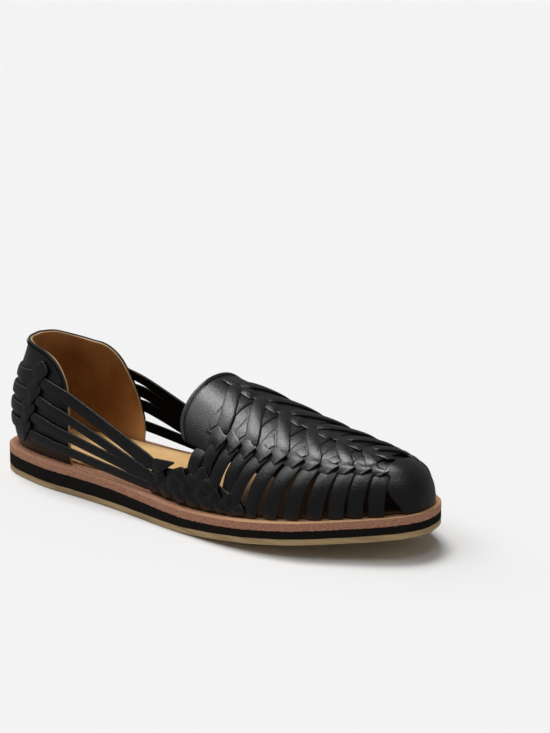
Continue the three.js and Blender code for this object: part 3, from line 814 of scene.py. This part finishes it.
class HeelCup:
    """Counter with its lining, rim, straps and plaited posts."""

    # Heights at the back and the post; then, for the outer and the inner side, those in front and at the end,
    # and the widths at both ends
    straps = (
        (0.69, 0.7, (0.6, 0.57), (0.25, 0.18), ((7.2, 8.6), (6.0, 6.6))),
        (0.53, 0.52, (0.425, 0.451), (0.15, 0.075), ((6.2, 5.6), (7.2, 8.0))),
        (0.37, 0.345, (0.265, 0.325), (0.125, 0.03), ((6.4, 5.6), (7.0, 7.8))),
        (0.22, 0.165, (0.125, 0.147), (0.055, 0.02), ((6.2, 5.2), (6.4, 6.4))),
    )
    post = Curve((0.1, 0.565), (0.25, 0.6), (0.38, 0.635), (0.53, 0.68), (0.68, 0.72), (0.84, 0.76))

    def height(self, row: tuple, side: float) -> Curve:
        """Height of a strap round one side of the counter, as shares of the collar's height."""
        back, post, fronts, *_ = row
        return Curve((0, back), (0.5, back), (0.68, post), (1, fronts[int(side > 0)]))

    def wall(self) -> None:
        """Counter wall: black outside, brown lining inside, pale rim."""
        piece = Piece("heel_counter", (Finish.BLACK, Finish.RIM, Finish.LINING), SIZES.wall, 0.3, 2, 1)

        def place(u: Array, v: Array) -> Placed:
            around = u * 2 - 1
            up = v * COUNTER.rim(around)
            sag = 0.25 * np.sin(around * 17) * np.sin(up * 9)
            return COUNTER.over(around, up, sag)

        piece.patch(120, 30, place, 0.4)
        piece.unworn()
        piece.done()

    def rim_line(self, down: float, lift: float, count: int) -> Array:
        """Line of points that follows the rim at a distance below it."""
        around = np.linspace(-0.995, 0.995, 1200)
        up = COUNTER.rim(around) - down / SIZES.collar
        inward = np.sign(around) * smooth_step(0.93, 1.0, np.abs(around)) * 0.03
        return evenly(COUNTER.point(around - inward, up, lift), count)

    def rim(self) -> None:
        """Turned black edge round the rim with its stitches, and the seam inside."""
        piece = Piece("collar_stitches", (Finish.THREAD, Finish.LINING))
        piece.beads(self.rim_line(down=1.5, lift=0.95, count=130), length=1.5, width=0.6)
        inside = self.rim_line(down=2.0, lift=-SIZES.wall - 0.05, count=150)
        piece.beads(inside, length=1.3, width=0.4, finish=1)
        piece.done()
        band = strips("collar_binding", 1.25, 0.25)

        def place(u: Array, v: Array) -> Placed:
            around = v * 1.98 - 0.99
            up = COUNTER.rim(around) - (3.6 * (1 - u) - 0.5) / SIZES.collar
            return COUNTER.over(around, up, 0.5)

        band.patch(4, 160, place, 0.55)
        band.done()

    def bands(self) -> None:
        """Straps round the back of the counter."""
        piece = strips("heel_bands", SIZES.strap, 0.35)
        for number, row in enumerate(self.straps):
            outer, inner = (self.height(row, side) for side in SIDES)

            def place(u: Array, v: Array) -> Placed:
                around = v * 1.76 - 0.88
                level = np.where(around < 0, outer(np.abs(around)), inner(np.abs(around)))
                up = level + (u - 0.5) * SIZES.heel_band / SIZES.collar
                post = np.exp(-((np.abs(around) - self.post(level)) / 0.05) ** 2)
                return COUNTER.over(around, up, SIZES.proud + 0.5 + 0.3 * arch(u) - 0.6 * post)

            piece.patch(6, 120, place, tone_of(number))
        piece.done()

    def free_straps(self) -> None:
        """Straps from the counter to the side braids."""
        piece = Piece("side_straps", (Finish.BLACK, Finish.CUT, Finish.THREAD), SIZES.strap, 0.4, 2, 1)
        reach = 0.475 * SIZES.length
        for number, (row, side) in enumerate((row, side) for row in self.straps for side in SIDES):
            height = self.height(row, side)
            rise, (rear_width, front_width) = (values[int(side > 0)] for values in row[-2:])
            end = VAMP.side_at_rise(reach, rise * SIZES.collar)
            starts = [COUNTER.point(side * around, height(around), SIZES.proud + 0.5 + extra)
                      for around, extra in ((0.76, 0), (0.87, 0.1), (1.0, 0.4))]
            last, other = VAMP.over(reach, side * end, SIZES.proud)
            tucked, _ = VAMP.over(reach + 7, side * end, -0.6)
            nodes = np.array([*starts, starts[-1] * 0.5 + last * 0.5, last, tucked])
            steps = distances(nodes)
            curves = [Curve(*zip(steps / steps[-1], nodes[:, i])) for i in range(3)]
            first = COUNTER.normal(side * 0.95, height(1.0))

            def place(u: Array, v: Array) -> Placed:
                centre = np.stack([curve(v) for curve in curves], -1)
                before = np.clip(v - 0.01, 0, 1)
                run = unit(np.stack([curve(v + 0.01) - curve(before) for curve in curves], -1))
                outward = unit(first * (1 - v)[:, None] + other * v[:, None])
                upward = unit(np.cross(outward, run))
                upward = upward * np.sign(upward[:, 2:3])
                width = rear_width + (front_width - rear_width) * v
                width = width * (1 - 0.45 * smooth_step(0.86, 1, v))
                crown = 0.3 * arch(u)
                return centre + upward * ((u - 0.5) * width)[:, None] + outward * crown[:, None], outward

            piece.patch(6, 60, place, tone_of(number + 3))
        piece.done()

    def posts(self) -> None:
        """Plaited posts of flat kites, wide over each strap, each with its tail over the next."""
        piece = strips("plaited_posts", 1.1, 0.3)
        width = Curve((0, 0.02), (0.3, 0.07), (0.55, 0.14), (0.7, 0.155), (0.86, 0.095), (1, 0.012))
        for side in SIDES:
            for number, up in enumerate((0.735, 0.56, 0.385, 0.21)):

                def place(u: Array, v: Array) -> Placed:
                    rise = up + (v - 0.5) * 0.25
                    middle = self.post(rise) * 0.45 + self.post(up) * 0.55
                    around = side * (middle + (u - 0.5) * width(v))
                    fold = 0.3 * (1 - np.abs(2 * u - 1)) + 0.3 * np.sin(v * math.pi)
                    return COUNTER.over(around, rise, 2.1 - 0.7 * v + fold)

                piece.patch(8, 14, place, tone_of(number * 2 + 1) * 0.4)
        piece.done()

    def build(self) -> None:
        """Builds the heel."""
        self.wall()
        self.rim()
        self.bands()
        self.free_straps()
        self.posts()


class Weave:
    """The woven front: side braids, bars, chains, transverse layers, crossing straps and ridge."""

    bars = (
        (0.58, 0.645, 0.573, 0.86), (0.616, 0.52, 0.606, 0.8), (0.648, 0.5, 0.628, 0.93),
        (0.68, 0.49, 0.664, 0.86), (0.713, 0.47, 0.676, 1), (0.742, 0.445, 0.72, 1),
        (0.776, 0.435, 0.761, 1), (0.806, 0.43, 0.802, 1), (0.838, 0.425, 0.841, 1),
        (0.865, 0.4, 0.875, 1), (0.892, 0.37, 0.905, 1), (0.92, 0.35, 0.937, 1),
    )
    ridge = (0.56, 0.598, 0.63, 0.656, 0.683, 0.713, 0.741, 0.776, 0.813, 0.847, 0.877, 0.905)
    crossings = (
        ((171.5, 0.0), (173.4, 0.07), (179.4, 0.215), (183.6, 0.334), (185.5, 0.445), (187.0, 0.5)),
        ((188.6, 0.0), (190.8, 0.064), (198.0, 0.224), (203.4, 0.362), (205.5, 0.44), (206.6, 0.49)),
        ((204.8, 0.0), (208.0, 0.06), (216.4, 0.21), (222.4, 0.335), (225.0, 0.41), (226.2, 0.46)),
        ((223.4, 0.0), (226.8, 0.06), (235.2, 0.2), (241.6, 0.32), (244.2, 0.4), (245.4, 0.45)),
        ((243.6, 0.0), (246.4, 0.06), (253.4, 0.19), (258.8, 0.3), (261.2, 0.37), (262.4, 0.42)),
        ((260.6, 0.0), (262.8, 0.06), (267.6, 0.16), (270.8, 0.25), (272.6, 0.31), (273.6, 0.36)),
    )
    wedges = (
        ((174.6, 0.43), (178.3, 0.308), (182.0, 0.413), (178.7, 0.486)),
        ((193.3, 0.42), (195.6, 0.28), (200.0, 0.39), (197.8, 0.465)),
        ((210.8, 0.4), (213.4, 0.272), (218.6, 0.372), (216.0, 0.44)),
        ((230.2, 0.375), (232.8, 0.26), (238.2, 0.35), (235.4, 0.41)),
        ((249.6, 0.355), (251.6, 0.25), (256.4, 0.325), (253.8, 0.385)),
    )
    braid_top = Curve((139.5, 0.87), (160, 0.84), (172, 0.785), (186, 0.78), (196, 0.85), (215.5, 0.93))
    # Bars with a dark strip under the gap in front of them
    gaps_closed = 6
    braid_rows = (0.97, 0.915, 0.86, 0.805)
    braid_pitch = 11.0
    # Lift of the chain's folds on the inner side, as a share of the outer side's
    inner_lift = 0.45
    tongue_front = Curve((0, 0.562), (0.2, 0.574), (0.4, 0.59), (0.55, 0.6), (1, 0.6))
    cap_rear = Curve((0, 0.931), (0.2, 0.932), (0.4, 0.937), (0.55, 0.943), (0.7, 0.953), (0.85, 0.966),
                     (1, 0.976))

    def make_bars(self) -> None:
        """Bars from the chains to the sole, wider at their tops, with dark strips under the rear gaps."""
        piece = strips("side_bars", SIZES.strap, 0.4)
        for side in SIDES:
            for number, (link, start, foot, end) in enumerate(self.bars):
                top_x, foot_x = link * SIZES.length + 3.5, foot * SIZES.length
                path = straight((top_x, start - 0.05), (foot_x, end), (0, 0.25, 0.5, 0.75, 1))
                tuck = -1.4 if end < 0.9 else 0.1
                rise = (-3.0, -0.6) if number == 0 else (-0.6, 0.5)
                strip = Strip(path, (9.4, 9.4, 9.1, 8.8, 8.6), (*rise, 0.7, 0.5, tuck), 0.8, side, 0.9)
                piece.patch(8, 24, strip.place, tone_of(number + 5) * 0.6)
                if number < self.gaps_closed:
                    reach = 0.9 if number < 2 else 0.42
                    low = straight((top_x + 5.4, start - 0.05), (foot_x + 5.4, end), (0, 0.5 * reach, reach))
                    under = Strip(low, (8.4, 8.0, 7.4), (-1.9, -1.3, -1.3), 0.3, side)
                    piece.patch(8, 16, under.place, 0.1)
        piece.done()

    def make_links(self) -> None:
        """Chain of folds along the tops of the bars, each over the tail of the next."""
        piece = strips("side_chains", 1.4, 0.35)
        for side in SIDES:
            for number, (link, share, _, _) in enumerate(self.bars[1:]):
                x = link * SIZES.length
                size = 1 - 0.012 * number
                corners = ((x - 4.8 * size, share + 0.07), (x - 3.0, share - 0.088 * size),
                           (x + 6.8 * size, share - 0.01), (x + 2.6, share + 0.1))
                raised = self.inner_lift if side > 0 else 1.0
                lifts = (0.2, 1.1 * raised, 1.5 * raised, 0.7 * raised)
                place = leaf(corners, lifts, side, 0.9, 0.1, 1.4 * raised)
                piece.patch(12, 12, place, tone_of(number + 2))
            for number, corners in enumerate(self.wedges):
                piece.patch(10, 10, leaf(corners, (0.9, 0.6, 0.9, 1.0), side, 0.1, 0), tone_of(number + 6))
        piece.done()

    def make_layers(self) -> None:
        """Transverse strips under the crossing straps, laid like shingles on a closed backing."""
        backing = Piece("weave_backing", (Finish.BLACK,), 0.8, 0.2)
        chain = Curve(*((row[0] * SIZES.length, row[1]) for row in self.bars))

        def under(u: Array, v: Array) -> Placed:
            across = u * 2 - 1
            share = across * 0.55
            for _ in range(3):
                rear = self.tongue_front(np.abs(share)) * SIZES.length + 1
                x = rear + (self.cap_rear(np.abs(share)) * SIZES.length + 1 - rear) * v
                share = across * (chain(x) + 0.02)
            return VAMP.over(x, share, -0.9)

        backing.patch(40, 40, under, 0.2)
        backing.done()
        piece = strips("weave_layers", 1.0, 0.3)
        pitch, overlap = 8.55, 2.6
        for side in SIDES:
            for number in range(12):
                rear = 168.6 + number * pitch
                width = pitch + overlap
                centre = rear + width / 2 - 1.2
                lift = 0.25 if number % 2 else -0.4
                reach = 0.545 - 0.018 * number

                def place(u: Array, v: Array) -> Placed:
                    x = centre + (u - 0.5) * width
                    share = side * (v * (reach + 0.01) - 0.01)
                    return VAMP.over(x, share, lift - 0.9 * np.exp(-(v / 0.08) ** 2) + 0.25 * arch(u))

                piece.patch(6, 20, place, tone_of(number + 7))
        piece.done()

    def make_crossings(self) -> None:
        """Crossing straps from the ridge to the chains."""
        piece = strips("cross_straps", SIZES.strap, 0.4)
        for side in SIDES:
            for number, path in enumerate(self.crossings):
                shrink = 1 - 0.04 * number
                width = tuple(value * shrink for value in (6.6, 7.8, 8.3, 8.5, 8.2, 6.4))
                strip = Strip(path, width, (0.4, 1.3, 1.45, 1.35, 0.7, -0.5), 0.45, side)
                piece.patch(8, 30, strip.place, tone_of(number * 3 + 1) * 0.7)
        piece.done()

    def make_ridge(self) -> None:
        """Folds along the ridge, every second one over the ends of the crossing straps."""
        piece = strips("ridge_links", 1.1, 0.35)
        for number, along in enumerate(self.ridge):
            x = along * SIZES.length
            size = 1 - 0.02 * number
            near, top = (-0.06, 1.2) if number % 2 else (-0.04, 0.9)
            corners = ((x - 6.4 * size, near), (x + 5.2 * size, near - 0.01),
                       (x + 6.6 * size, 0.03), (x - 4.8 * size, 0.07))
            place = leaf(corners, (0.9, 0.9, 0.1, 0.1), INNER_SIDE, top * size, 0.12)
            piece.patch(14, 12, place, tone_of(number + 4))
        piece.done()

    def make_braid(self) -> None:
        """Side braids: a backing, one long fold at its rear top and a lattice of crossing folds."""
        piece = strips("side_braids", 1.1, 0.35)
        for side in SIDES:

            def backing(u: Array, v: Array) -> Placed:
                x = 139.5 + 76 * u
                top = self.braid_top(x)
                return VAMP.over(x, side * (top + (1 - top) * v), -0.5)

            piece.patch(24, 6, backing, 0.2)
            corners = ((139.5, 0.89), (143.5, 0.83), (160.0, 0.8), (148.0, 0.9))
            piece.patch(10, 10, leaf(corners, (0.4, 2.0, 0.8, 2.2), side, 0.9), 0.4)
            for row, share in enumerate(self.braid_rows):
                for number in range(8):
                    x = 142.0 + self.braid_pitch * (number + 0.5 * (row % 2))
                    if share < self.braid_top(x) + 0.012 or x > 208:
                        continue
                    corners = ((x - 5.9, share - 0.01), (x + 1.8, share - 0.058), (x + 5.9, share + 0.01),
                               (x - 1.8, min(share + 0.058, 1)))
                    lifts = (0.3, 1.5, 0.3, 1.5) if row % 2 else (1.5, 0.3, 1.5, 0.3)
                    place = leaf(corners, lifts, side, 0.8, 0.13)
                    piece.patch(10, 10, place, tone_of(number + 3 * row) * 0.8)
        piece.done()

    def make_tongue(self) -> None:
        """Smooth throat panel with a turned edge, painted lighter as a highlight, and its stitches."""
        throat = Curve((0, 0.52), (0.2, 0.521), (0.4, 0.52), (0.55, 0.524), (0.7, 0.55))
        reach = 0.65
        stitch_line = 2.4

        def place(u: Array, v: Array) -> Placed:
            share = (u * 2 - 1) * reach
            rear = throat(np.abs(share)) * SIZES.length
            front = self.tongue_front(np.abs(share)) * SIZES.length + 6
            x = rear + (front - rear) * v
            turned_edge = 0.55 * np.exp(-((x - rear) / 2.0) ** 2)
            groove = 0.35 * np.exp(-((x - rear - stitch_line) / 0.6) ** 2)
            return VAMP.over(x, share, turned_edge - groove)

        piece = Piece("throat_panel", (Finish.SMOOTH, Finish.CUT, Finish.LINING), SIZES.tongue, 0.5, 2, 1,
                      "tongue", "smooth_leather")
        piece.patch(90, 34, place, 0.6)
        layers = piece.mesh.verts.layers.float
        # Painted highlight: the rear turned edge gets the lighter edge colour, where light catches the roll.
        for vertex in piece.mesh.verts:
            vertex[layers["edge"]] = 1.0 - 14 * vertex[layers["rise"]]
        piece.done()
        share = np.linspace(-reach, reach, 900)
        line, _ = VAMP.over(throat(np.abs(share)) * SIZES.length + stitch_line, share, 0.05)
        seam = Piece("throat_stitches", (Finish.THREAD,), node="tongue", slot="smooth_leather")
        seam.beads(evenly(line, 62), length=1.0, width=0.75)
        seam.done()

    def make_cap(self) -> None:
        """Smooth toe cap."""
        end = SIZES.length - SIZES.toe_ledge

        def place(u: Array, v: Array) -> Placed:
            share = u * 2 - 1
            rear = self.cap_rear(np.abs(share)) * SIZES.length
            x = rear + (end - rear) * np.sin(v * math.pi / 2)
            return VAMP.over(x, share, 0.6 * np.cos(v * math.pi / 2))

        piece = Piece("toe_cap", (Finish.SMOOTH, Finish.CUT, Finish.LINING), SIZES.wall, 0.4, 2, 1)
        piece.patch(90, 26, place, 0.5)
        piece.unworn()
        piece.done()

    def build(self) -> None:
        """Builds the woven front."""
        self.make_tongue()
        self.make_cap()
        self.make_layers()
        self.make_crossings()
        self.make_ridge()
        self.make_bars()
        self.make_links()
        self.make_braid()


class Studio:
    """Floor, soft light and the photo's camera."""

    lights = (
        ("overhead_softbox", (0.27, -0.12, -0.95), 1.8, 24),
        ("front_softbox", (0.4, 0.36, -0.84), 0.62, 34),
        ("toe_softbox", (-0.3, 0.36, -0.88), 0.3, 24),
        ("side_softbox", (0.78, -0.05, -0.62), 0.4, 44),
    )

    def build(self) -> None:
        """Builds the studio."""
        mesh = bpy.data.meshes.new("floor")
        shape = bmesh.new()
        bmesh.ops.create_grid(shape, x_segments=1, y_segments=1, size=12.0)
        shape.to_mesh(mesh)
        shape.free()
        mesh.materials.append(FINISHES.get(Finish.FLOOR))
        floor = add_object("floor", mesh)
        floor.location.z = -0.0002
        floor.visible_glossy = False
        self.sky(0.16)
        for light in self.lights:
            self.sun(*light)
        self.camera()
        bpy.context.scene.view_settings.view_transform = "Standard"

    def sky(self, strength: float) -> None:
        """Even light from all round."""
        world = bpy.data.worlds.new("studio")
        world.use_nodes = True
        back = world.node_tree.nodes["Background"]
        back.inputs["Color"].default_value = (1, 1, 1, 1)
        back.inputs["Strength"].default_value = strength
        bpy.context.scene.world = world

    def sun(self, name: str, run: tuple, power: float, spread: float) -> None:
        """Broad soft light that falls along a direction."""
        light = bpy.data.lights.new(name, "SUN")
        light.energy, light.angle = power, math.radians(spread)
        add_object(name, light).rotation_euler = Vector(run).to_track_quat("-Z", "Y").to_euler()

    def camera(self) -> None:
        """The camera that was fitted to the photo."""
        lens = bpy.data.cameras.new("photo")
        lens.lens, lens.sensor_width, lens.clip_start, lens.clip_end = 101.58, 36.0, 0.05, 60
        view = add_object("photo", lens)
        right = Vector((0.78540656, 0.61898024, 0.0))
        up = Vector((-0.15055534, 0.19103542, 0.96996833))
        back = Vector((0.60039122, -0.76181949, 0.24323125))
        turn = Matrix((right, up, back)).transposed().to_4x4()
        view.matrix_world = Matrix.Translation((0.7286394, -0.8653828, 0.3646385)) @ turn
        bpy.context.scene.camera = view


def main() -> None:
    """Builds the sandal and its studio."""
    logging.basicConfig(level=logging.INFO)
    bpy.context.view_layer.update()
    SoleLayers().build()
    HeelCup().build()
    Weave().build()
    Studio().build()
    bpy.context.view_layer.update()


if __name__ == "__main__":
    main()
